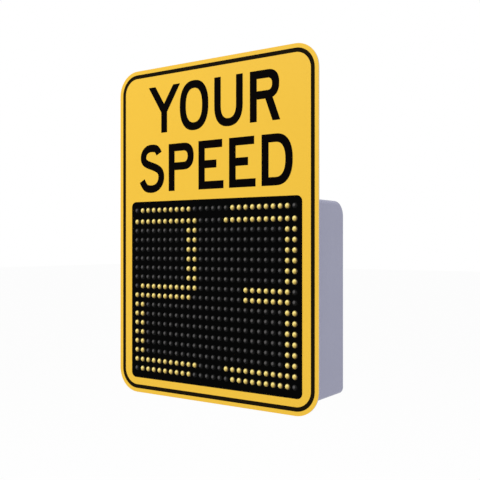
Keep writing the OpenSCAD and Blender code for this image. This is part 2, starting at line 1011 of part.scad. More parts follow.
// Finned case with an ear at each side for its screws
module charge_controller() {
    step = (charger_w - charger_fin_t) / (charger_fins - 1);
    ears_w = charger_w + 2 * charger_ear;
    color("#4b4f54")
        difference() {
            union() {
                translate([charger_x - charger_w / 2, deck_y - charger_base_d, charger_z - charger_h / 2])
                    cube([charger_w, charger_base_d, charger_h]);
                translate([charger_x - ears_w / 2, deck_y - charger_ear_t, charger_z - charger_h / 2])
                    cube([ears_w, charger_ear_t, charger_h]);
                for (i = [0:charger_fins - 1])
                    translate([
                        charger_x - charger_w / 2 + i * step,
                        deck_y - charger_base_d - charger_fin_h,
                        charger_z - charger_h / 2
                    ])
                        cube([charger_fin_t, charger_fin_h + 1, charger_h]);
            }
            for (p = charger_screw_places)
                rearward(p[0], deck_y - charger_ear_t - 1, p[1])
                    cylinder(d = m4_d + 2 * shank_gap, h = charger_ear_t + 2);
        }
}

module controller_board() {
    front = deck_y - control_post_l - board_t;
    color("#1f5b3a") {
        slab(front, board_t)
            difference() {
                translate([control_x, control_z])
                    square([control_w, control_h], center = true);
                for (p = control_places)
                    translate(p)
                        circle(d = m3_d + 2 * shank_gap);
            }
        for (part = [[-60, 20, 30, 30, 4], [0, 25, 24, 24, 3], [60, 30, 40, 16, 12], [-50, -35, 60, 12, 11],
                     [40, -35, 60, 12, 11]])
            translate([control_x + part[0] - part[2] / 2, front - part[4], control_z + part[1] - part[3] / 2])
                cube([part[2], part[4] + board_t / 2, part[3]]);
    }
}

module controller_standoffs() {
    color("gold")
        for (p = control_places)
            rearward(p[0], deck_y - control_post_l, p[1])
                difference() {
                    union() {
                        cylinder(d = control_post_d, h = control_post_l);
                        cylinder(d = m3_d, h = control_post_l + chassis_t);
                    }
                    translate([0, 0, -1])
                        cylinder(d = m3_d + 2 * tap_gap, h = control_post_l - 1);
                }
}

module controller_screws() {
    color("silver")
        for (p = control_places)
            rearward(p[0], deck_y - control_post_l - board_t, p[1])
                mirror([0, 0, 1])
                    pan_screw(m3_d, m3_head_d, m3_head_h, board_t + 6);
}

module radar_module() {
    color("#4f8f6d") {
        translate([-radar_w / 2, mask_rear_y, radar_z - radar_h / 2])
            cube([radar_w, radar_d, radar_h]);
    }
}

// Sheet clip behind the radar unit, with an ear on the mask at each side
module radar_bracket() {
    half = radar_w / 2 + cut_gap;
    color("#b9bcc0")
        difference() {
            translate([0, mask_rear_y, radar_z - radar_h / 2 + 1])
                linear_extrude(radar_h - 2) {
                    translate([-half - radar_sheet, radar_d])
                        square([2 * (half + radar_sheet), radar_sheet]);
                    for (s = [0, 1])
                        mirror([s, 0]) {
                            translate([half, 0])
                                square([radar_sheet, radar_d]);
                            translate([half + radar_sheet, 0])
                                square([radar_ear, radar_sheet]);
                        }
                }
            for (x = [-radar_screw_x, radar_screw_x])
                rearward(x, mask_rear_y - 1, radar_z)
                    cylinder(d = m3_d + 2 * shank_gap, h = radar_sheet + 2);
        }
}

module radar_screws() {
    color("silver")
        for (x = [-radar_screw_x, radar_screw_x])
            rearward(x, mask_rear_y + radar_sheet, radar_z)
                pan_screw(m3_d, m3_head_d, m3_head_h, radar_sheet + m3_grip);
}

// Gland body: hexagon under the wall, a thread up through it and a thread down for the dome nut
module cable_gland() {
    color("#1c1d1f")
        translate([gland_x, gland_y, -tub_h / 2])
            difference() {
                union() {
                    translate([0, 0, -gland_hex_h])
                        cylinder(d = gland_af / cos(30), h = gland_hex_h, $fn = 6);
                    translate([0, 0, -gland_hex_h - gland_neck_l])
                        cylinder(d = gland_neck_d, h = gland_neck_l + 1);
                    cylinder(d = gland_d, h = gland_top);
                }
                translate([0, 0, -gland_hex_h - gland_neck_l - 1])
                    cylinder(d = gland_body_bore, h = gland_hex_h + gland_neck_l + gland_top + 2);
            }
}

module gland_dome_nut() {
    hollow_l = gland_neck_l + gland_seal_h + 0.3;
    rim_l = hollow_l - 1;
    color("#1c1d1f")
        translate([gland_x, gland_y, -tub_h / 2 - gland_hex_h])
            mirror([0, 0, 1])
                difference() {
                    union() {
                        cylinder(d = gland_af - 1, h = rim_l);
                        translate([0, 0, rim_l])
                            cylinder(d1 = gland_af - 1, d2 = gland_bore + 6, h = gland_cap_h);
                    }
                    translate([0, 0, -1])
                        cylinder(d = gland_neck_d + 2 * tap_gap, h = hollow_l + 1);
                    translate([0, 0, -1])
                        cylinder(d = gland_bore + 2 * shank_gap, h = rim_l + gland_cap_h + 2);
                }
}

// Rubber ring that the dome nut presses round the cable
module gland_seal() {
    color("#2b2c2e")
        translate([gland_x, gland_y, -tub_h / 2 - gland_hex_h - gland_neck_l - gland_seal_h])
            washer(gland_neck_d - 2 * tap_gap, gland_bore, gland_seal_h);
}

module gland_locknut() {
    color("#1c1d1f")
        translate([gland_x, gland_y, floor_z])
            nut(gland_af, gland_nut_h, gland_d + 2 * tap_gap);
}

module vent_plugs() {
    color("#1c1d1f")
        for (x = vent_x)
            translate([x, gland_y, -tub_h / 2 - vent_head_h]) {
                cylinder(d = vent_head_d, h = vent_head_h);
                cylinder(d = vent_d, h = vent_head_h + tub_t + gland_nut_h + 2);
            }
}

module vent_locknuts() {
    color("#1c1d1f")
        for (x = vent_x)
            translate([x, gland_y, floor_z])
                nut(vent_d + 5, gland_nut_h, vent_d + 2 * tap_gap);
}

sign_plate();
flange_studs();
display_mask();
pixel_lenses_lit();
pixel_lenses_dark();
led_boards();
board_spacers();
board_screws();
tub_gasket();
enclosure_tub();
flange_washers();
flange_nuts();
upper_rail();
lower_rail();
rail_bolts();
rail_washers();
rail_nuts();
backing_bars();
chassis_standoffs();
chassis_plate();
chassis_screws();
battery();
battery_tray();
battery_strap();
deck_screws();
din_rail();
terminal_block();
fuse_holder();
charge_controller();
controller_board();
controller_standoffs();
controller_screws();
radar_module();
radar_bracket();
radar_screws();
cable_gland();
gland_dome_nut();
gland_seal();
gland_locknut();
vent_plugs();
vent_locknuts();
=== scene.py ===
# %% [markdown]
# # A radar speed sign, finished around its CAD frame
# The frame holds every piece of the sign at its real size: plate, pixel window, housing, rails and what
# is inside. This lesson adds what a camera sees, which is the finish of each surface and the small shapes
# that CAD leaves plain. The CAD pieces are loaded first and never moved, so all that follows takes its
# places from them.

# %% Load the frame
import json
import math
import bmesh
import bpy
from mathutils import Matrix, Vector


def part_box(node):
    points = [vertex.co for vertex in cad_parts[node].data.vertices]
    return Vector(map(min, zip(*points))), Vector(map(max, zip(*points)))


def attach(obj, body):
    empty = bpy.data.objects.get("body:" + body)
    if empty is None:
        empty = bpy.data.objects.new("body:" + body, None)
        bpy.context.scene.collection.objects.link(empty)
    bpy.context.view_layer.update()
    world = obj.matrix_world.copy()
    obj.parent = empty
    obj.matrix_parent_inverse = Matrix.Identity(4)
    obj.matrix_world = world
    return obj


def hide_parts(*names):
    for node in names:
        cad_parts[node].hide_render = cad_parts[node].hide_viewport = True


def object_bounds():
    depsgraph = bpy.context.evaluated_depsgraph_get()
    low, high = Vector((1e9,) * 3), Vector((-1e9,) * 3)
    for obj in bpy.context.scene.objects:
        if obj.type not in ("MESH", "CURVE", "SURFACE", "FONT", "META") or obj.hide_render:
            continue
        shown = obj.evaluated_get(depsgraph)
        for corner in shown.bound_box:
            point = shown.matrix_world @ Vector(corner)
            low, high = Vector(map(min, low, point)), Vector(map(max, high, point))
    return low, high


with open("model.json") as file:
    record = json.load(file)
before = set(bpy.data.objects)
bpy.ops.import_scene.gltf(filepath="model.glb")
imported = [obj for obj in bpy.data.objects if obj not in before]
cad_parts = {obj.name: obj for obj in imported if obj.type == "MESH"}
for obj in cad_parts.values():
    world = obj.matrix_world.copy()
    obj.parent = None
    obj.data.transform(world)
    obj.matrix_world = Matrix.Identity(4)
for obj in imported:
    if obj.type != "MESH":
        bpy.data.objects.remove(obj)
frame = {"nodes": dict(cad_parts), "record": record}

cad_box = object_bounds()
nodes = frame["nodes"]
mm = 0.001
print("CAD nodes:", len(nodes), "box:", [tuple(round(v, 3) for v in corner) for corner in cad_box])

# %% [markdown]
# ## The camera
# The picture shows the sign from its right, a third of the way round, from about the height of its
# display. A camera could be aimed at the object with a constraint, but a level camera keeps upright edges
# upright, as here. So it is turned about the vertical only, and a small shift sets the object at its
# height in the frame.

# %% Camera
camera_place = (1.3706, -2.0632, 0.1627)
camera_turn = math.radians(34.7)
camera_data = bpy.data.cameras.new("camera")
camera_data.lens = 55.05
camera_data.sensor_width = 36
camera_data.shift_y = 0.0085
camera = bpy.data.objects.new("camera", camera_data)
camera.location = camera_place
camera.rotation_euler = (math.radians(90), 0, camera_turn)
bpy.context.scene.collection.objects.link(camera)
bpy.context.scene.camera = camera
bpy.context.scene.view_settings.view_transform = "Standard"
print("camera looks", round(math.degrees(camera_turn), 1), "degrees off the sign's axis")

# %% [markdown]
# ## Shader maths as Python
# A finish is a graph of nodes. Wired by hand, even 1 - mask takes four lines and hides what is meant. The
# small class here wraps an output socket, so that + - * / on it add the Math nodes that do the sum. A
# second class holds one material. Its node method adds any other node, sets it and fills its sockets.

# %% Sums of sockets
class Value:
    """An output socket that takes part in Python sums."""

    def __init__(self, finish, socket):
        self.finish = finish
        self.socket = socket

    def math(self, operation, *terms):
        return self.finish.node("ShaderNodeMath", {"operation": operation}, dict(enumerate(terms)))

    def __add__(self, other):
        return self.math("ADD", self, other)

    def __radd__(self, other):
        return self.math("ADD", other, self)

    def __sub__(self, other):
        return self.math("SUBTRACT", self, other)

    def __rsub__(self, other):
        return self.math("SUBTRACT", other, self)

    def __mul__(self, other):
        return self.math("MULTIPLY", self, other)

    def __rmul__(self, other):
        return self.math("MULTIPLY", other, self)

    def zigzag(self, height):
        """Rises and falls between 0 and height."""
        return self.math("PINGPONG", self, height)

    def least(self, other):
        return self.math("MINIMUM", self, other)

    def step(self, low, high):
        """0 below low and 1 above high, with a soft change between. With high under low it runs down."""
        settings = {"interpolation_type": "SMOOTHSTEP"}
        sockets = {"Value": self, "From Min": low, "From Max": high}
        return self.finish.node("ShaderNodeMapRange", settings, sockets)

# %% One material
class Finish:
    """One material round Blender's Principled shader. Fixed numbers are set on the shader's own sockets."""

    def __init__(self, name, **fixed):
        self.material = bpy.data.materials.new(name)
        self.material.use_nodes = True
        self.tree = self.material.node_tree
        self.shader = self.tree.nodes["Principled BSDF"]
        self.feed(**fixed)

    def node(self, kind, settings=None, sockets=None, output=0):
        made = self.tree.nodes.new(kind)
        for name, value in (settings or {}).items():
            setattr(made, name, value)
        self.fill(made, sockets or {})
        return Value(self, made.outputs[output])

    def fill(self, made, sockets):
        for key, value in sockets.items():
            if isinstance(value, Value):
                self.tree.links.new(value.socket, made.inputs[key])
            else:
                made.inputs[key].default_value = value

    def feed(self, **sockets):
        """Sets or links the shader's sockets. Their names are written with _ for each space."""
        self.fill(self.shader, {name.replace("_", " "): value for name, value in sockets.items()})

    def place(self):
        return self.node("ShaderNodeTexCoord", output="Object")

    def axes(self):
        """The x, y and z of a point in the object's own frame, in metres."""
        place = self.place()
        return [self.node("ShaderNodeSeparateXYZ", None, {0: place}, axis) for axis in "XYZ"]

    def noise(self, size, detail=2.0, stretch=(1, 1, 1)):
        """Soft noise from 0 to 1 whose blobs are about size metres wide, longer along stretch."""
        scale = tuple(1 / (size * part) for part in stretch)
        place = self.node("ShaderNodeMapping", None, {"Vector": self.place(), "Scale": scale})
        return self.node("ShaderNodeTexNoise", None, {"Vector": place, "Scale": 1.0, "Detail": detail})

    def cells(self, size):
        """A random value from 0 to 1 for each Voronoi cell, which is about size metres wide."""
        colour = self.node("ShaderNodeTexVoronoi", None, {"Vector": self.place(), "Scale": 1 / size}, "Color")
        return self.node("ShaderNodeSeparateColor", None, {0: colour}, "Red")

    def mix(self, factor, first, second):
        """The first colour where factor is 0 and the second where it is 1."""
        return self.node("ShaderNodeMix", {"data_type": "RGBA"}, {0: factor, 6: first, 7: second}, 2)

    def shade(self, colour, factor):
        """A colour made darker or lighter by a factor that varies over the surface."""
        grey = self.node("ShaderNodeCombineXYZ", None, {0: factor, 1: factor, 2: factor})
        return self.node("ShaderNodeVectorMath", {"operation": "MULTIPLY"}, {0: colour[:3], 1: grey})

    def bump(self, height, depth):
        """Relief from a height of 0 to 1, depth metres deep."""
        self.feed(Normal=self.node("ShaderNodeBump", None, {"Height": height, "Distance": depth}))

# %% Colours
def paint(red, green, blue):
    """A colour written as on screen, 0 to 255, as the linear numbers that a shader takes."""
    linear = []
    for value in (red / 255, green / 255, blue / 255):
        linear.append(value / 12.92 if value <= 10 / 255 else ((value + 0.055) / 1.055) ** 2.4)
    return (*linear, 1.0)

# %% [markdown]
# ## Floor, daylight and lamps
# The sign hangs on a post that isn't part of it, so the floor lies well below, where its shadow is soft
# and far off. A white background could come from strong lamps, but they would bleach the yellow. Instead
# the world and the floor turn white only for rays that come straight from the camera, or from a gloss or
# a glass, and light with less. The key lamp stands high on the left in front, because the domes of the
# display shine at their upper left.

# %% World
def whitened(tree, shader, share):
    """Mixes a white glow of strength 1 into a shader, by share, for rays that see the background."""
    rays = tree.nodes.new("ShaderNodeLightPath")
    seen = rays.outputs["Is Camera Ray"]
    for ray in ("Is Glossy Ray", "Is Transmission Ray"):
        either = tree.nodes.new("ShaderNodeMath")
        either.operation = "MAXIMUM"
        tree.links.new(seen, either.inputs[0])
        tree.links.new(rays.outputs[ray], either.inputs[1])
        seen = either.outputs[0]
    part = tree.nodes.new("ShaderNodeMath")
    part.operation = "MULTIPLY"
    part.inputs[1].default_value = share
    tree.links.new(seen, part.inputs[0])
    white = tree.nodes.new("ShaderNodeBackground" if shader.type == "BACKGROUND" else "ShaderNodeEmission")
    white.inputs["Strength"].default_value = 1.0
    white.inputs["Color"].default_value = (1, 1, 1, 1)
    both = tree.nodes.new("ShaderNodeMixShader")
    tree.links.new(part.outputs[0], both.inputs[0])
    tree.links.new(shader.outputs[0], both.inputs[1])
    tree.links.new(white.outputs[0], both.inputs[2])
    return both.outputs[0]


daylight = 0.65
world = bpy.data.worlds.new("studio")
bpy.context.scene.world = world
world.use_nodes = True
sky = world.node_tree.nodes["Background"]
sky.inputs["Color"].default_value = (1, 1, 1, 1)
sky.inputs["Strength"].default_value = daylight
world_out = world.node_tree.nodes["World Output"]
world.node_tree.links.new(whitened(world.node_tree, sky, 1.0), world_out.inputs["Surface"])

# %% Floor
floor_below = 0.7
bpy.ops.object.select_all(action="DESELECT")
bpy.ops.mesh.primitive_plane_add(size=60, location=(0, 0, cad_box[0].z - floor_below))
floor = bpy.context.active_object
floor.name = "floor"
floor_finish = Finish("floor_paper", Roughness=0.9, Specular_IOR_Level=0.1)
floor_tone = floor_finish.mix(floor_finish.noise(0.4), paint(242, 242, 242), paint(246, 246, 246))
floor_finish.feed(Base_Color=floor_tone)
floor_tree = floor_finish.tree
floor_out = floor_tree.nodes["Material Output"]
floor_tree.links.new(whitened(floor_tree, floor_finish.shader, 0.94), floor_out.inputs["Surface"])
floor.data.materials.append(floor_finish.material)

# %% Lamps
def lamp(name, place, size, power, aim=(0, -0.15, 0.15)):
    bpy.ops.object.light_add(type="AREA", location=place)
    made = bpy.context.active_object
    made.name = name
    made.data.size = size
    made.data.energy = power
    made.rotation_euler = (Vector(aim) - Vector(place)).to_track_quat("-Z", "Y").to_euler()
    print(name, "at", place, power, "W")


lamp("key_lamp", (-1.6, -3.4, 2.9), 1.1, 66)
lamp("top_lamp", (0.6, 0.4, 3.2), 1.6, 38)
lamp("side_lamp", (3.4, -0.3, 0.6), 1.6, 17)

# %% [markdown]
# ## Retroreflective sheeting on aluminium
# The plate is a cut aluminium blank with yellow sheeting on its face. Its edge and rear stay bare metal.
# The face could be a second thin piece, but the film is flush and runs to the very edge, so a mask does
# it: every point within a tenth of a millimetre of the face is film. The film's sealed cells show as
# faint diamonds.

# %% Sheeting and bare metal
plate_low, plate_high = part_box("sign_plate")
face_y = plate_low.y
film_edge = 0.1 * mm


def rolled_metal(finish, tone, strength=0.12):
    """Colour of rolled sheet: faint streaks along X, and a slow change from one end to the other."""
    streaks = finish.noise(1.2 * mm, 3.0, (60, 1, 1))
    cloud = finish.noise(0.12)
    return finish.shade(tone, 1 - strength + strength * (streaks + cloud))


def sheeting():
    finish = Finish("sign_sheeting", Specular_IOR_Level=0.15)
    x, y, z = finish.axes()
    face = y.step(face_y + 2 * film_edge, face_y + film_edge)
    cell = 3.2 * mm
    seams = (x + z).zigzag(cell).least((x - z).zigzag(cell)).step(0.35 * mm, 0.1 * mm)
    yellow = finish.mix(seams * 0.35 + finish.noise(0.25) * 0.15, paint(245, 197, 62), paint(240, 189, 55))
    metal = rolled_metal(finish, paint(172, 172, 174))
    finish.feed(Base_Color=finish.mix(face, metal, yellow), Metallic=0.75 - face * 0.75)
    finish.feed(Roughness=0.42 - face * 0.04 + 0.08 * finish.noise(0.03))
    finish.bump(1 - seams * face, 0.02 * mm)
    return finish.material

# %% [markdown]
# ## Paint, moulded plastic and lenses
# The housing is powder coated: a satin coat with the fine waviness called orange peel, which is noise as
# bump. The display's panel is moulded black plastic with a fine matt grain, so that daylight doesn't wash
# the pixels out. A lens is clear plastic over a light. A lit one is drawn as glowing amber with painted
# shade, light at its upper left and darker at its lower right and edge, with the die as a darker spot
# inside. An unlit one is smoked plastic with a painted highlight at its upper left.

# %% Coats and plastics
def powder_coat():
    finish = Finish("housing_paint", Specular_IOR_Level=0.35)
    peel = finish.noise(2.2 * mm, 3.0)
    cloud = finish.noise(0.15)
    finish.feed(Base_Color=finish.mix(cloud, paint(145, 146, 168), paint(151, 152, 173)))
    finish.feed(Roughness=0.42 + 0.1 * peel)
    finish.bump(peel, 0.06 * mm)
    return finish.material


def moulded(name, dark, light, grain=0.5 * mm, rough=0.5, gloss=0.3, relief=0.04 * mm):
    """Moulded plastic or rubber: a fine grain, two close tones and a slow change of sheen."""
    finish = Finish(name, Specular_IOR_Level=gloss)
    skin = finish.noise(grain, 3.0)
    finish.feed(Base_Color=finish.mix(finish.noise(0.05) * 0.6 + skin * 0.4, dark, light))
    finish.feed(Roughness=rough + 0.12 * skin)
    finish.bump(skin, relief)
    return finish.material


def lens_place(finish):
    """Where a point lies on its own lens, from -1 to 1 across. The lens's mesh keeps it as an attribute."""
    local = finish.node("ShaderNodeAttribute", {"attribute_name": "dome"}, output="Vector")
    return [finish.node("ShaderNodeSeparateXYZ", None, {0: local}, axis) for axis in "XYZ"]


def lit_lens():
    """Amber with painted shade: brightest at the upper left, olive at the lower right, brown round the edge,
    with a die inside. The glow takes the same painted shade.
    """
    finish = Finish("lens_lit", Specular_IOR_Level=0.4, Emission_Strength=0.16, Roughness=0.26)
    across, _, up = lens_place(finish)
    # painted shade: the colour and the glow darken to brown towards the dome's edge, more at the sides
    painted_rim_shade = (1.25 * across * across + up * up).step(0.35, 0.92)
    # painted shade: light at the upper left and olive at the lower right, as if lit from the upper left
    low = (up - 0.6 * across).step(0.6, -0.8)
    body = finish.mix(low, paint(252, 230, 132), paint(158, 134, 52))
    die = ((across - 0.2) * (across - 0.2) + (up + 0.12) * (up + 0.12)).step(0.14, 0.01)
    body = finish.mix(die * 0.25, body, paint(212, 146, 60))
    finish.feed(Base_Color=finish.mix(painted_rim_shade, body, paint(62, 46, 12)))
    # the glow carries the same painted shade as the colour
    finish.feed(Emission_Color=finish.mix(painted_rim_shade, body, paint(0, 0, 0)))
    return finish.material


def dark_lens():
    """Smoked plastic with a painted highlight: a soft pale spot at the upper left of each dome."""
    finish = Finish("lens_dark", Specular_IOR_Level=0.1)
    across, _, up = lens_place(finish)
    # painted highlight: a pale spot at the upper left of the dome, where a lamp would shine on it
    painted_highlight = ((across + 0.1) * (across + 0.1) + (up - 0.2) * (up - 0.2)).step(0.42, 0.02)
    finish.feed(Base_Color=finish.mix(painted_highlight, paint(8, 8, 8), paint(84, 82, 82)))
    finish.feed(Roughness=0.3 + 0.08 * finish.noise(4 * mm))
    return finish.material

# %% [markdown]
# ## Metals
# Galvanised steel shows spangle, which are zinc crystals some millimetres wide that each catch the light
# their own way. Voronoi cells give them: a random value a cell drives both tone and roughness. Plated
# fasteners are finer, with a faint turning mark. All are real metals to the shader, so what they mirror
# gives most of their look.

# %% Metals
def galvanised():
    finish = Finish("galvanised_steel")
    spangle = finish.cells(7 * mm)
    cloud = finish.noise(0.04, 3.0)
    finish.feed(Base_Color=finish.shade(paint(178, 181, 186), 0.72 + 0.26 * spangle + 0.14 * cloud))
    finish.feed(Metallic=0.9 - 0.1 * cloud, Roughness=0.34 + 0.2 * spangle)
    finish.bump(cloud, 0.05 * mm)
    return finish.material


def turned(name, tone, rough=0.28, metal=1.0):
    """Plated, turned or milled metal with fine marks."""
    finish = Finish(name)
    marks = finish.noise(0.5 * mm, 4.0, (4, 1, 4))
    finish.feed(Base_Color=finish.shade(tone, 0.85 + 0.3 * marks), Metallic=metal - 0.08 * marks)
    finish.feed(Roughness=rough + 0.14 * marks)
    finish.bump(marks, 0.01 * mm)
    return finish.material


def rolled(name, tone, rough=0.36):
    finish = Finish(name)
    finish.feed(Base_Color=rolled_metal(finish, tone), Metallic=0.95 - 0.05 * finish.noise(0.02))
    finish.feed(Roughness=rough + 0.12 * finish.noise(1.2 * mm, 3.0, (60, 1, 1)))
    return finish.material

# %% [markdown]
# ## Circuit boards
# A board is green lacquer over copper tracks. Tracks run along the grid, so two sets of stripes, switched
# by coarse cells, pass for them. What stands up from the board, such as LEDs and chips, is in the same
# node, so a mask by depth gives it another colour: the board's own face is where one ends and the other
# begins.

# %% Board lacquer
def board(name, front_y, parts_tone):
    """Lacquered board whose parts stand in front of front_y."""
    finish = Finish(name, Specular_IOR_Level=0.45)
    x, y, z = finish.axes()
    pitch = 1.27 * mm
    patch = finish.cells(14 * mm).step(0.48, 0.52)
    along_x = z.zigzag(pitch).step(0.5 * pitch, 0.7 * pitch)
    along_z = x.zigzag(pitch).step(0.5 * pitch, 0.7 * pitch)
    tracks = patch * along_x + (1 - patch) * along_z
    lacquer = finish.mix(tracks, paint(22, 84, 48), paint(38, 112, 62))
    parts = y.step(front_y - 0.1 * mm, front_y - 0.3 * mm)
    finish.feed(Base_Color=finish.mix(parts, lacquer, parts_tone), Roughness=0.3 + 0.15 * parts)
    finish.bump(tracks * (1 - parts), 0.03 * mm)
    return finish.material

# %% [markdown]
# ## One finish for each slot
# The record names the material slots and says which node takes which. Making one finish a slot, and
# dressing every node from that list, means that no node can be forgotten.

# %% Dress the nodes
led_board_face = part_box("led_boards")[1].y - 1.6 * mm
control_board_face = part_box("controller_board")[1].y - 1.6 * mm
finishes = {
    "sign_sheeting": sheeting(),
    "black_mask": moulded("black_mask", paint(2, 2, 2), paint(4, 4, 4), rough=0.6, gloss=0.015),
    "lens_lit": lit_lens(),
    "lens_dark": dark_lens(),
    "housing_paint": powder_coat(),
    "galvanised_steel": galvanised(),
    "plated_steel": turned("plated_steel", paint(202, 203, 206)),
    "sheet_aluminium": rolled("sheet_aluminium", paint(205, 206, 208)),
    "dark_aluminium": turned("dark_aluminium", paint(62, 64, 68), 0.42, 0.8),
    "brass": turned("brass", paint(214, 178, 98)),
    "circuit_board": board("circuit_board", led_board_face, paint(232, 214, 160)),
    "nylon": moulded("nylon", paint(214, 213, 206), paint(226, 225, 219)),
    "foam_rubber": moulded("foam_rubber", paint(34, 34, 36), paint(48, 48, 50), 0.8 * mm, 0.8, 0.1, 0.2 * mm),
    "battery_case": moulded("battery_case", paint(34, 36, 39), paint(44, 46, 50), 0.7 * mm),
    "grey_plastic": moulded("grey_plastic", paint(150, 153, 158), paint(162, 165, 170)),
    "black_plastic": moulded("black_plastic", paint(24, 24, 26), paint(33, 33, 35), 0.6 * mm, 0.42, 0.4),
}
for part in frame["record"]["subparts"]:
    for slot in nodes[part["node"]].material_slots:
        slot.material = finishes[part["material_slot"]]
legend_film = moulded("legend_film", paint(3, 1, 1), paint(5, 2, 2), 3 * mm, 0.5, 0.015, 0.01 * mm)
border_ink = moulded("border_ink", paint(22, 17, 6), paint(27, 20, 8), 3 * mm, 0.5, 0.015, 0.01 * mm)
control_board_finish = board("control_board", control_board_face, paint(40, 42, 46))
nodes["controller_board"].material_slots[0].material = control_board_finish

# %% [markdown]
# ## Modelling helpers
# An edit-mode operator works on all that is selected, and the frame's nodes arrive selected. So each
# piece starts from a clean selection, and faces or edges are then picked in code, by where they are, as a
# hand would click them.

# %% Modelling helpers
def start(name, add, **settings):
    """Adds a primitive with nothing else selected, and returns it with its turn applied."""
    bpy.ops.object.select_all(action="DESELECT")
    add(**settings)
    piece = bpy.context.active_object
    piece.name = name
    piece.data.name = name
    bpy.ops.object.transform_apply(location=True, rotation=True, scale=True)
    return piece


def pick(piece, kind, test):
    """In edit mode, selects only the verts, edges or faces that pass the test, and returns how many."""
    bpy.ops.mesh.select_all(action="DESELECT")
    bpy.context.tool_settings.mesh_select_mode = (kind == "verts", kind == "edges", kind == "faces")
    mesh = bmesh.from_edit_mesh(piece.data)
    chosen = [item for item in getattr(mesh, kind) if test(item)]
    for item in chosen:
        item.select_set(True)
    bmesh.update_edit_mesh(piece.data)
    return len(chosen)


def only(piece):
    """Makes a piece the active and only selected object."""
    bpy.ops.object.select_all(action="DESELECT")
    piece.select_set(True)
    bpy.context.view_layer.objects.active = piece


def weld(piece):
    """Merges doubled points and turns all faces outwards."""
    only(piece)
    bpy.ops.object.mode_set(mode="EDIT")
    bpy.ops.mesh.select_all(action="SELECT")
    bpy.ops.mesh.remove_doubles(threshold=0.001 * mm)
    bpy.ops.mesh.normals_make_consistent(inside=False)
    bpy.ops.object.mode_set(mode="OBJECT")


def moved_copies(piece, moves):
    """Makes a copy of a piece, with its own mesh, for every move, and joins them into that one piece."""
    made = []
    for move in moves:
        copy = piece.copy()
        copy.data = piece.data.copy()
        copy.data.transform(move)
        bpy.context.scene.collection.objects.link(copy)
        made.append(copy)
    name = piece.name
    bpy.data.objects.remove(piece)
    only(made[0])
    for copy in made:
        copy.select_set(True)
    if len(made) > 1:
        bpy.ops.object.join()
    made[0].name = name
    made[0].data.name = name
    return made[0]


def copies(piece, places):
    """Puts a copy of a piece at every place."""
    return moved_copies(piece, [Matrix.Translation(Vector(place)) for place in places])


def finish_piece(piece, slot, *replaced, material=None):
    """Gives a finished piece the finish of its slot, or the material given, and lets it ride on the sign."""
    piece.data.materials.clear()
    piece.data.materials.append(material or finishes[slot])
    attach(piece, "root")
    if replaced:
        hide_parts(*replaced)
    print(piece.name, len(piece.data.polygons), "faces")

# %% [markdown]
# ## Pixel lenses
# Each pixel is a moulded lens whose dome stands out of the panel. The CAD lenses are exact, collar and
# pocket too, but 468 of them weigh more than the rest of the sign. A lens could be instanced, but an
# export needs real meshes. So one light lens is modelled and copied to each CAD lens. Its dome is half a
# sphere, pressed into a low upright oval as such lenses are, to throw the light sideways, and it stands
# on a round rim and neck that fill the hole. Before that, its own coordinates are stored on its points,
# because the finish has to know where on a dome it is.

# %% One lens
lens_r = 9 * mm
dome_half_w = 7.8 * mm
dome_half_h = 8.6 * mm
dome_reach = 5 * mm
neck_l = 4 * mm
lens = start(
    "lens", bpy.ops.mesh.primitive_uv_sphere_add,
    segments=16, ring_count=6, radius=lens_r, location=(0, 0, 0), rotation=(math.radians(90), 0, 0),
)
bpy.ops.object.mode_set(mode="EDIT")
bpy.ops.mesh.select_all(action="SELECT")
bpy.ops.mesh.bisect(plane_co=(0, 0, 0), plane_no=(0, 1, 0), clear_outer=True, threshold=0.01 * mm)
bpy.ops.mesh.select_all(action="SELECT")
oval = (dome_half_w / lens_r, dome_reach / lens_r, dome_half_h / lens_r)
bpy.ops.transform.resize(value=oval, center_override=(0, 0, 0))
pick(lens, "edges", lambda edge: edge.is_boundary)
bpy.ops.mesh.extrude_region_move()
bpy.ops.transform.resize(value=(1 / oval[0], 1, 1 / oval[2]), center_override=(0, 0, 0))
bpy.ops.mesh.extrude_region_move(TRANSFORM_OT_translate={"value": (0, neck_l, 0)})
bpy.ops.mesh.edge_face_add()
bpy.ops.object.mode_set(mode="OBJECT")
weld(lens)
local = lens.data.attributes.new("dome", "FLOAT_VECTOR", "POINT")
local.data.foreach_set("vector", [part / lens_r for vertex in lens.data.vertices for part in vertex.co])
bpy.ops.object.shade_smooth_by_angle(angle=math.radians(50))
print("one lens:", len(lens.data.polygons), "faces, dome", round(dome_reach / mm, 1), "mm high")

# %% [markdown]
# The CAD meshes are loose triangles, so a lens can't be picked as one solid. But the foremost points of a
# node are the tips of its domes, and tips nearer to each other than a lens is wide are the same one, so
# each gives a place.

# %% Copy it to every pixel
def lens_places(node):
    """Middles of the lenses in a CAD node on the plate's face, from the points at the tips of their domes."""
    tip_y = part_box(node)[0].y + 0.02 * mm
    grid = 4 * mm
    tips = {}
    for vertex in nodes[node].data.vertices:
        if vertex.co.y < tip_y:
            tips.setdefault((round(vertex.co.x / grid), round(vertex.co.z / grid)), vertex.co.copy())
    places = []
    for tip in tips.values():
        if all((tip - place).length > lens_r for place in places):
            places.append(tip)
    return [(place.x, face_y, place.z) for place in places]


for node, slot in (("pixel_lenses_lit", "lens_lit"), ("pixel_lenses_dark", "lens_dark")):
    one = lens.copy()
    one.data = lens.data.copy()
    one.name = slot.replace("lens", "domes")
    bpy.context.scene.collection.objects.link(one)
    domes = copies(one, lens_places(node))
    finish_piece(domes, slot, node)
bpy.data.objects.remove(lens)

# %% [markdown]
# ## Nuts, bolt heads and threads
# A real nut is cut from hexagon bar and then turned, so each corner ends in a small curved chamfer. A
# bevel would cut all edges alike. So a hexagon and a turned blank are modelled, and the Boolean modifier
# keeps what they share. A thread could be a true helix, but at this size rings look the same and close by
# themselves: its profile is drawn point by point as a line and spun about its axis.

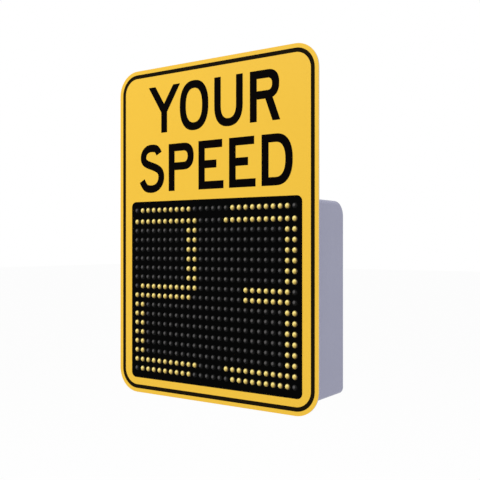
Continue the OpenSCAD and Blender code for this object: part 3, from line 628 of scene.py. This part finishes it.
# %% Turned and hexagonal parts
def turn_profile(name, profile, steps=16):
    """Spins a profile of (radius, y) points in mm about the Y axis. It ends on the axis or where it began."""
    piece = start(name, bpy.ops.mesh.primitive_plane_add, size=1 * mm)
    bpy.ops.object.mode_set(mode="EDIT")
    bpy.context.tool_settings.mesh_select_mode = (True, False, False)
    bpy.ops.mesh.select_all(action="SELECT")
    bpy.ops.mesh.merge(type="CENTER")
    bpy.ops.transform.translate(value=(profile[0][0] * mm, profile[0][1] * mm, 0))
    for (r0, y0), (r1, y1) in zip(profile, profile[1:]):
        step = ((r1 - r0) * mm, (y1 - y0) * mm, 0)
        bpy.ops.mesh.extrude_region_move(TRANSFORM_OT_translate={"value": step})
    bpy.ops.mesh.select_all(action="SELECT")
    bpy.ops.mesh.spin(steps=steps, angle=math.radians(360), center=(0, 0, 0), axis=(0, 1, 0))
    bpy.ops.object.mode_set(mode="OBJECT")
    weld(piece)
    return piece


def cut(piece, tool, operation="DIFFERENCE"):
    """Applies a Boolean modifier with a tool, and removes the tool."""
    only(piece)
    modifier = piece.modifiers.new("cut", "BOOLEAN")
    modifier.operation = operation
    modifier.object = tool
    bpy.ops.object.modifier_apply(modifier=modifier.name)
    bpy.data.objects.remove(tool)


def hexagon(name, flats, height, both_ends=False):
    """A hexagon across flats mm, from y = 0 to height, its corners chamfered at the far end or at both."""
    piece = start(
        name, bpy.ops.mesh.primitive_cylinder_add,
        vertices=6, radius=flats / math.sqrt(3) * mm, depth=height * mm,
        location=(0, height / 2 * mm, 0), rotation=(math.radians(90), 0, 0),
    )
    corner_r = flats / math.sqrt(3) + 0.01
    face_r = 0.475 * flats
    slope = (corner_r - face_r) * math.tan(math.radians(30))
    near = [(0, 0), (face_r, 0), (corner_r, slope)] if both_ends else [(0, -0.5), (corner_r, -0.5)]
    blank = turn_profile("blank", near + [(corner_r, height - slope), (face_r, height), (0, height)], 36)
    cut(piece, blank, "INTERSECT")
    return piece


def thread(radius, low, high, pitch):
    """Points of a thread's profile from low to high: a ridge and a groove each pitch."""
    points = []
    for i in range(int((high - low) / pitch)):
        points += [(radius - 0.3 * pitch, low + i * pitch), (radius, low + (i + 0.5) * pitch)]
    return points


def solid_boxes(node, reach):
    """Lowest and highest corner of each loose solid in a CAD node. Solids are further apart than reach."""
    groups = []
    for vertex in nodes[node].data.vertices:
        near = [group for group in groups if (group[0] - vertex.co).length < reach]
        if near:
            near[0].append(vertex.co.copy())
        else:
            groups.append([vertex.co.copy()])
    boxes = []
    for group in groups:
        along = [[point[axis] for point in group] for axis in range(3)]
        boxes.append((Vector([min(values) for values in along]), Vector([max(values) for values in along])))
    return boxes

# %% Flange nuts
nut_boxes = solid_boxes("flange_nuts", 15 * mm)
nut_places = [((low.x + high.x) / 2, low.y, (low.z + high.z) / 2) for low, high in nut_boxes]
nut_flats, nut_h = 8, 4
stud_r = 2.5
nut = hexagon("flange_hex_nuts", nut_flats, nut_h, both_ends=True)
bore = start(
    "bore", bpy.ops.mesh.primitive_cylinder_add,
    vertices=16, radius=(stud_r + 0.05) * mm, depth=10 * mm,
    location=(0, nut_h / 2 * mm, 0), rotation=(math.radians(90), 0, 0),
)
cut(nut, bore)
weld(nut)
finish_piece(copies(nut, nut_places), "plated_steel", "flange_nuts")

# %% Studs
stud_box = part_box("flange_studs")
stud_l = (stud_box[1].y - stud_box[0].y) / mm
thread_low = stud_l - 9.5
foot_r, foot_h = 3.1, 0.7
stud = turn_profile(
    "threaded_studs",
    [(0, 0), (foot_r, 0), (foot_r, foot_h), (stud_r, foot_h), (stud_r, thread_low)]
    + thread(stud_r, thread_low, stud_l - 0.5, 0.8) + [(2.1, stud_l), (0, stud_l)],
)
finish_piece(copies(stud, [(x, stud_box[0].y, z) for x, _, z in nut_places]), "plated_steel", "flange_studs")
print("studs:", len(nut_places), "of", round(stud_l, 1), "mm")

# %% Rail bolts
bolt_boxes = solid_boxes("rail_bolts", 40 * mm)
bolt_places = [((low.x + high.x) / 2, high.y, (low.z + high.z) / 2) for low, high in bolt_boxes]
bolt_l = (bolt_boxes[0][1].y - bolt_boxes[0][0].y) / mm
bolt_r = 4
head_flats, head_h = 13, 5.3
collar_r = 6.2
collar_low, collar_high = -head_h - 0.3, -head_h + 0.4
thread_high = 13 - bolt_l
shank = turn_profile(
    "shank",
    [(0, -bolt_l), (3.4, -bolt_l)] + thread(bolt_r, 0.6 - bolt_l, thread_high, 1.25)
    + [(bolt_r, thread_high), (bolt_r, collar_low), (collar_r, collar_low), (collar_r, collar_high)]
    + [(0, collar_high)],
)
bolt = hexagon("rail_hex_bolts", head_flats, head_h)
bolt.data.transform(Matrix.Translation((0, -head_h * mm, 0)))
only(bolt)
shank.select_set(True)
bpy.ops.object.join()
weld(bolt)
finish_piece(copies(bolt, bolt_places), "plated_steel", "rail_bolts")
print("rail bolts:", len(bolt_places), "of", round(bolt_l, 1), "mm")

# %% [markdown]
# ## Cable gland and vents
# In the underside, a gland takes the supply cable and two vents let the housing breathe. Both are moulded
# nylon. A gland's cap has grip ribs, so that a hand can tighten it. Each rib is a thin box, bevelled,
# modelled once and turned round the cap by copies. A vent is a low mushroom with notches under its rim,
# where the air gets in. All are drawn along Y as the nuts are, and then turned to hang down.

# %% Turned down
def hang(piece, *places):
    """Turns a piece from its own Y axis to point down, and copies it to each place."""
    piece.data.transform(Matrix.Rotation(math.radians(-90), 4, "X"))
    return copies(piece, places)


def ring_of(piece, count):
    """Copies a piece round the Y axis."""
    turns = [math.radians(360 * i / count) for i in range(count)]
    return moved_copies(piece, [Matrix.Rotation(turn, 4, "Y") for turn in turns])


def block(name, low, high, bevel_w):
    """A box between two corners in mm with all its edges bevelled."""
    size = [(b - a) * mm for a, b in zip(low, high)]
    middle = [(a + b) / 2 * mm for a, b in zip(low, high)]
    piece = start(name, bpy.ops.mesh.primitive_cube_add, size=1, location=(0, 0, 0))
    bpy.ops.object.mode_set(mode="EDIT")
    bpy.ops.mesh.select_all(action="SELECT")
    bpy.ops.transform.resize(value=size, center_override=(0, 0, 0))
    bpy.ops.transform.translate(value=middle)
    bpy.ops.mesh.bevel(offset=bevel_w * mm, segments=1, affect="EDGES")
    bpy.ops.object.mode_set(mode="OBJECT")
    return piece

# %% Gland cap
cap_low, cap_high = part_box("gland_dome_nut")
gland_x = (cap_low.x + cap_high.x) / 2
gland_y = (cap_low.y + cap_high.y) / 2
cap_l = (cap_high.z - cap_low.z) / mm
cap_r = 10.9
inner_r = 9.1
mouth_r = 5.2
dome_start = cap_l - 5
cap = turn_profile(
    "gland_ribbed_cap",
    [(inner_r, 0), (cap_r, 0), (cap_r, dome_start), (10.5, cap_l - 3.4), (9.4, cap_l - 1.4), (8, cap_l - 0.3),
     (7, cap_l), (mouth_r, cap_l), (mouth_r, cap_l - 2), (inner_r, dome_start), (inner_r, 0)],
    36,
)
ribs = ring_of(block("rib", (10.4, 1.2, -0.8), (11.5, cap_l - 5.5, 0.8), 0.25), 16)
cut(cap, ribs, "UNION")
cap = hang(cap, (gland_x, gland_y, cap_high.z))
weld(cap)
finish_piece(cap, "black_plastic", "gland_dome_nut")

# %% Vents
vent_low, vent_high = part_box("vent_plugs")
vent_boxes = solid_boxes("vent_plugs", 40 * mm)
vent_places = [((low.x + high.x) / 2, (low.y + high.y) / 2, high.z) for low, high in vent_boxes]
vent_l = (vent_high.z - vent_low.z) / mm
head_low = vent_l - 5
stem_r = 6
head_r = 9.5
vent = turn_profile(
    "vent_mushrooms",
    [(0, 0), (5.6, 0)] + thread(stem_r, 0.6, head_low - 1, 1.5)
    + [(stem_r, head_low), (head_r, head_low), (head_r, vent_l - 2.2), (8.9, vent_l - 0.9), (7.6, vent_l)]
    + [(0, vent_l)],
    32,
)
notches = ring_of(block("notch", (7, head_low - 0.5, -0.9), (10.5, head_low + 1.6, 0.9), 0.1), 12)
cut(vent, notches)
vents = hang(vent, *vent_places)
weld(vents)
finish_piece(vents, "black_plastic", "vent_plugs")
print("gland cap", round(cap_l, 1), "mm, vents", round(vent_l, 1), "mm long")

# %% [markdown]
# ## The housing's bends
# The housing is pressed from one sheet. Its sides are flat, with a narrow bend all round them, and the
# top runs down to the back in a fuller bend that sheds rain. The CAD shell is plainer, with one radius
# everywhere. The new one starts as the side's outline: a plane whose two rear corners get bends of their
# own. It is extruded across, its front is opened, the rims of both sides are bevelled, and Solidify gives
# the sheet its thickness. The bend of the sides must stay the smallest of the three, because a wider one
# would cross itself at the lower corner.

# %% Plates and corners
def rounded_plate(name, low, high, radius, front_y, thick):
    """A plate with round corners between two places (x, z), from front_y back by thick."""
    middle = ((low[0] + high[0]) / 2, front_y, (low[1] + high[1]) / 2)
    upright = (math.radians(90), 0, 0)
    piece = start(name, bpy.ops.mesh.primitive_plane_add, size=1, location=middle, rotation=upright)
    bpy.ops.object.mode_set(mode="EDIT")
    bpy.ops.mesh.select_all(action="SELECT")
    bpy.ops.transform.resize(value=(high[0] - low[0], 1, high[1] - low[1]), center_override=middle)
    bpy.ops.mesh.bevel(offset=radius, segments=16, profile=0.5, affect="VERTICES")
    bpy.ops.mesh.select_all(action="SELECT")
    bpy.ops.mesh.extrude_region_move(TRANSFORM_OT_translate={"value": (0, thick, 0)})
    bpy.ops.object.mode_set(mode="OBJECT")
    weld(piece)
    return piece


def round_corner(piece, z, radius, segments):
    """Rounds the corner of the side's outline at the back, at height z."""
    pick(piece, "verts", lambda v: v.co.y > tub_high.y - 1 * mm and abs(v.co.z - z) < 1 * mm)
    bpy.ops.mesh.bevel(offset=radius, segments=segments, profile=0.5, affect="VERTICES")

# %% Housing shell
tub_low, tub_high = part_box("enclosure_tub")
sheet_t = 3 * mm
wall_x = 350 * mm
wall_z = 293.9 * mm
top_bend = 46 * mm
low_bend = 18 * mm
side_bend = 13 * mm
shell_front = tub_low.y + 1 * mm
shell_depth = tub_high.y - shell_front
shell = start("housing_shell", bpy.ops.mesh.primitive_plane_add, size=1, rotation=(0, math.radians(90), 0))
bpy.ops.object.mode_set(mode="EDIT")
bpy.ops.mesh.select_all(action="SELECT")
bpy.ops.transform.resize(value=(1, shell_depth, 2 * wall_z), center_override=(0, 0, 0))
bpy.ops.transform.translate(value=(-wall_x, shell_front + shell_depth / 2, 0))
round_corner(shell, wall_z, top_bend, 10)
round_corner(shell, -wall_z, low_bend, 7)
bpy.ops.mesh.select_all(action="SELECT")
bpy.ops.mesh.extrude_region_move(TRANSFORM_OT_translate={"value": (2 * wall_x, 0, 0)})
pick(shell, "faces", lambda face: all(v.co.y < shell_front + 0.01 * mm for v in face.verts))
bpy.ops.mesh.delete(type="FACE")
rims = pick(
    shell, "edges",
    lambda edge: len(edge.link_faces) == 2 and sum(len(face.verts) > 4 for face in edge.link_faces) == 1,
)
bpy.ops.mesh.bevel(offset=side_bend, segments=6, profile=0.5, affect="EDGES")
bpy.ops.object.mode_set(mode="OBJECT")
weld(shell)
solid = shell.modifiers.new("sheet", "SOLIDIFY")
solid.thickness = sheet_t
solid.offset = -1
solid.use_even_offset = True
bpy.ops.object.modifier_apply(modifier=solid.name)
print("housing rims:", rims, "size in mm:", [round(v / mm, 1) for v in shell.dimensions])

# %% [markdown]
# ## The housing's flange and holes
# A flange round the mouth is clamped to the plate by nuts. It could be extruded from the shell's rim, but
# its outline has a larger corner than the walls. So it is a plate of its own with the mouth cut out, and
# a Boolean union makes shell and flange one skin. The holes are drilled last, at the places of the
# fasteners. Smooth shading would let the bends tint the wide flats beside them, so the normals are
# weighted by area at the end.

# %% Flange and holes
lap = 1.5 * mm
flange_r = 34 * mm + tub_high.x - wall_x
flange_low, flange_high = (tub_low.x, tub_low.z), (tub_high.x, tub_high.z)
flange = rounded_plate("flange", flange_low, flange_high, flange_r, tub_low.y, sheet_t)
mouth_x, mouth_z = wall_x - lap, wall_z - lap
mouth_front = tub_low.y - 7 * sheet_t
mouth = rounded_plate("mouth", (-mouth_x, -mouth_z), (mouth_x, mouth_z), side_bend, mouth_front, 15 * sheet_t)
cut(flange, mouth)
cut(shell, flange, "UNION")


def drill(piece, places, radius, axis_turn, length=20 * mm):
    """Cuts a hole of one radius through a piece at every place."""
    bit = start(
        "bit", bpy.ops.mesh.primitive_cylinder_add,
        vertices=16, radius=radius, depth=length,
        location=(0, 0, 0), rotation=(math.radians(axis_turn), 0, 0),
    )
    cut(piece, copies(bit, places))


stud_hole_r = 2.8 * mm
bolt_hole_r = 4.3 * mm
gland_hole_r = 10.2 * mm
vent_hole_r = 6.2 * mm
drill(shell, [(x, tub_low.y, z) for x, _, z in nut_places], stud_hole_r, 90)
drill(shell, [(x, tub_high.y, z) for x, _, z in bolt_places], bolt_hole_r, 90)
drill(shell, [(gland_x, gland_y, -wall_z)], gland_hole_r, 0)
drill(shell, [(x, y, -wall_z) for x, y, _ in vent_places], vent_hole_r, 0)
weld(shell)
bpy.ops.object.shade_smooth_by_angle(angle=math.radians(30))
flats = shell.modifiers.new("flats", "WEIGHTED_NORMAL")
flats.keep_sharp = True
bpy.ops.object.modifier_apply(modifier=flats.name)
finish_piece(shell, "housing_paint", "enclosure_tub")

# %% [markdown]
# ## Border line and window edge
# Signs have a dark line set in from the edge, parallel to it, and a black margin round a window, which
# hides the cut edge. On the real one they are ink, and a mask in the shader could draw them, but an edge
# that sharp needs more texture than a bake has. So each is a film about 0.1 mm thick: a plane
# with its corners bevelled round, extruded, with the middle cut out by a smaller one of the same kind.
# The window's place is read off the CAD plate: its only points far from the outline are those of the
# window.

# %% Film frames
film_t = 0.12 * mm


def film_frame(name, low, high, outer_r, inset, inner_r, material):
    """A flat frame of film whose width is inset, with its own radius for the outer and the inner corners."""
    frame_piece = rounded_plate(name, low, high, outer_r, face_y - film_t, 2 * film_t)
    inner_low = [v + inset for v in low]
    inner_high = [v - inset for v in high]
    cut(frame_piece, rounded_plate("inside", inner_low, inner_high, inner_r, face_y - 1 * mm, 2 * mm))
    only(frame_piece)
    bpy.ops.object.mode_set(mode="EDIT")
    bpy.ops.mesh.select_all(action="SELECT")
    bpy.ops.mesh.bisect(plane_co=(0, face_y, 0), plane_no=(0, 1, 0), clear_outer=True, use_fill=True)
    bpy.ops.object.mode_set(mode="OBJECT")
    weld(frame_piece)
    finish_piece(frame_piece, "black_mask", material=material)

# %% Border line
inch = 25.4 * mm
line_inset = inch / 2
line_w = inch / 2
line_r = 2.5 * inch
film_frame(
    "border_line",
    (plate_low.x + line_inset, plate_low.z + line_inset),
    (plate_high.x - line_inset, plate_high.z - line_inset),
    line_r, line_w, line_r - line_w, border_ink,
)

# %% Window edge
margin = 40 * mm
window = [
    vertex.co for vertex in nodes["sign_plate"].data.vertices
    if abs(vertex.co.x) < plate_high.x - margin and plate_low.z + margin < vertex.co.z < plate_high.z - margin
]
window_low = min(p.x for p in window), min(p.z for p in window)
window_high = max(p.x for p in window), max(p.z for p in window)
edge_w = 2.2 * mm
edge_r = 18 * mm
window_r = 12 * mm
film_frame(
    "window_edge",
    [v - edge_w for v in window_low], [v + edge_w for v in window_high],
    edge_r, edge_w, window_r, legend_film,
)
print("window:", [round((b - a) / mm, 2) for a, b in zip(window_low, window_high)])

# %% [markdown]
# ## The legend
# Road signs are lettered in plain block capitals of one stroke width, cut from black film. A font could
# set them, but its shapes are its maker's. Here each letter is drawn from its own measures: straight
# strokes, and bows that are superellipses, which are ovals with fuller shoulders. A filled flat curve
# turns outline and holes into a mesh.

# %% Bows and ribbons
letter_h = 151.6
stroke = 24.8
shoulder = 2.35


def bow(middle, half, start_angle, end_angle, steps=22):
    """Points of an oval with full shoulders. 90 degrees is up, and a point is (right, down) in mm."""
    points = []
    for i in range(steps + 1):
        angle = math.radians(start_angle + (end_angle - start_angle) * i / steps)
        across, up = math.cos(angle), math.sin(angle)
        points.append((
            middle[0] + half[0] * math.copysign(abs(across) ** (2 / shoulder), across),
            middle[1] - half[1] * math.copysign(abs(up) ** (2 / shoulder), up),
        ))
    return points


def ribbon(knots, fullness=0.58, steps=10):
    """Outline of a stroke along a smooth line. A knot is a point and the way the line runs there."""
    left, right = [], []
    for (begin, way_in), (end, way_out) in zip(knots, knots[1:]):
        p0, p3 = Vector(begin), Vector(end)
        t0, t1 = Vector(way_in).normalized(), Vector(way_out).normalized()
        p1 = p0 + t0 * fullness * (p3 - p0).dot(t0)
        p2 = p3 - t1 * fullness * (p3 - p0).dot(t1)
        for i in range(steps + 1):
            t = i / steps
            point = (1 - t) ** 3 * p0 + 3 * t * (1 - t) ** 2 * p1 + 3 * t * t * (1 - t) * p2 + t ** 3 * p3
            way = (1 - t) ** 2 * (p1 - p0) + 2 * t * (1 - t) * (p2 - p1) + t * t * (p3 - p2)
            side = Vector((-way.y, way.x)).normalized() * stroke / 2
            left.append(tuple(point + side))
            right.append(tuple(point - side))
    return left + right[::-1]

# %% [markdown]
# Each letter is a list of closed outlines in millimetres, right and down from its upper left corner. The
# first is its outside, and one inside it is a hole.

# %% Letters without a bowl
def letter_y():
    fork = 85.5
    left, right = 54, 78.9
    return [[
        (0, 0), (29.3, 0), (65.9, 58), (104.1, 0), (133.1, 0),
        (right, fork), (right, letter_h), (left, letter_h), (left, fork),
    ]]


def letter_o():
    half = (57.2, letter_h / 2 + 3)
    middle = (half[0], letter_h / 2)
    inner = (half[0] - stroke, half[1] - stroke)
    return [bow(middle, half, 0, 360, 64)[:-1], bow(middle, inner, 0, 360, 64)[:-1]]


def letter_u():
    half = (53.35, 66)
    middle = (half[0], 88.5)
    inner = (half[0] - stroke, half[1] - stroke)
    outside = [(0, 0)] + bow(middle, half, 180, 360) + [(2 * half[0], 0)]
    inside = [(2 * half[0] - stroke, 0)] + bow(middle, inner, 360, 180) + [(stroke, 0)]
    return [outside + inside]

# %% Letters with a bowl
def bowl(middle_x, half, last_angle=-90):
    """Outside and inside of the round part of a P, an R or a D, whose top is at 0."""
    inner = (half[0] - stroke, half[1] - stroke)
    middle = (middle_x, half[1])
    outside = [(0, 0)] + bow(middle, half, 90, last_angle)
    bottom = 2 * half[1] - stroke
    inside = [(stroke, stroke)] + bow(middle, inner, 90, -90) + [(stroke, bottom)]
    return outside, inside


def letter_p():
    half = (41, 42.7)
    outside, inside = bowl(61.7, half)
    return [outside + [(stroke, 2 * half[1]), (stroke, letter_h), (0, letter_h)], inside]


def letter_r():
    half = (40, 42.8)
    outside, inside = bowl(63, half, -68)
    leg = [(106.5, letter_h), (79.8, letter_h), (54.7, 2 * half[1])]
    return [outside + leg + [(stroke, 2 * half[1]), (stroke, letter_h), (0, letter_h)], inside]


def letter_d():
    outside, inside = bowl(49.4, (57.5, letter_h / 2))
    return [outside + [(0, letter_h)], inside]

# %% Letters E and S
def letter_e():
    top_arm, middle_arm, low_arm = 92, 70, 97
    middle_top = 61.6
    middle_low = middle_top + stroke
    return [[
        (0, 0), (top_arm, 0), (top_arm, stroke), (stroke, stroke), (stroke, middle_top),
        (middle_arm, middle_top), (middle_arm, middle_low), (stroke, middle_low),
        (stroke, letter_h - stroke), (low_arm, letter_h - stroke), (low_arm, letter_h), (0, letter_h),
    ]]


def letter_s():
    return [ribbon([
        ((79.5, 27.6), (-0.45, -0.89)), ((45, 8.4), (-1, 0)), ((11.8, 37.6), (0, 1)),
        ((47, 66.6), (0.95, 0.32)),
        ((89, 103.6), (0, 1)), ((48, 142), (-1, 0)), ((6, 113.6), (-0.47, -0.88)),
    ])]

# %% Set the two lines
def film_letters(name, letters, line_top):
    """Cuts a line of letters from film. letters pairs a shape with its place in mm from the plate's left."""
    curve = bpy.data.curves.new(name, "CURVE")
    curve.dimensions = "2D"
    curve.fill_mode = "BOTH"
    curve.extrude = film_t / 2
    for shape, left in letters:
        for line in shape():
            spline = curve.splines.new("POLY")
            spline.points.add(len(line) - 1)
            spline.use_cyclic_u = True
            for point, (right, down) in zip(spline.points, line):
                point.co = ((left + right) * mm, -(line_top + down) * mm, 0, 1)
    piece = bpy.data.objects.new(name, curve)
    bpy.context.scene.collection.objects.link(piece)
    only(piece)
    bpy.ops.object.convert(target="MESH")
    piece = bpy.context.active_object
    piece.rotation_euler = (math.radians(90), 0, 0)
    piece.location = (plate_low.x, face_y - film_t / 2, plate_high.z)
    bpy.ops.object.transform_apply(location=True, rotation=True, scale=True)
    weld(piece)
    finish_piece(piece, "black_mask", material=legend_film)


first_line = [(letter_y, 127.8), (letter_o, 259.5), (letter_u, 396.7), (letter_r, 529)]
second_line = [(letter_s, 93), (letter_p, 213.3), (letter_e, 335), (letter_e, 452.7), (letter_d, 570.6)]
film_letters("legend_line_1", first_line, 61.5)
film_letters("legend_line_2", second_line, 252.4)
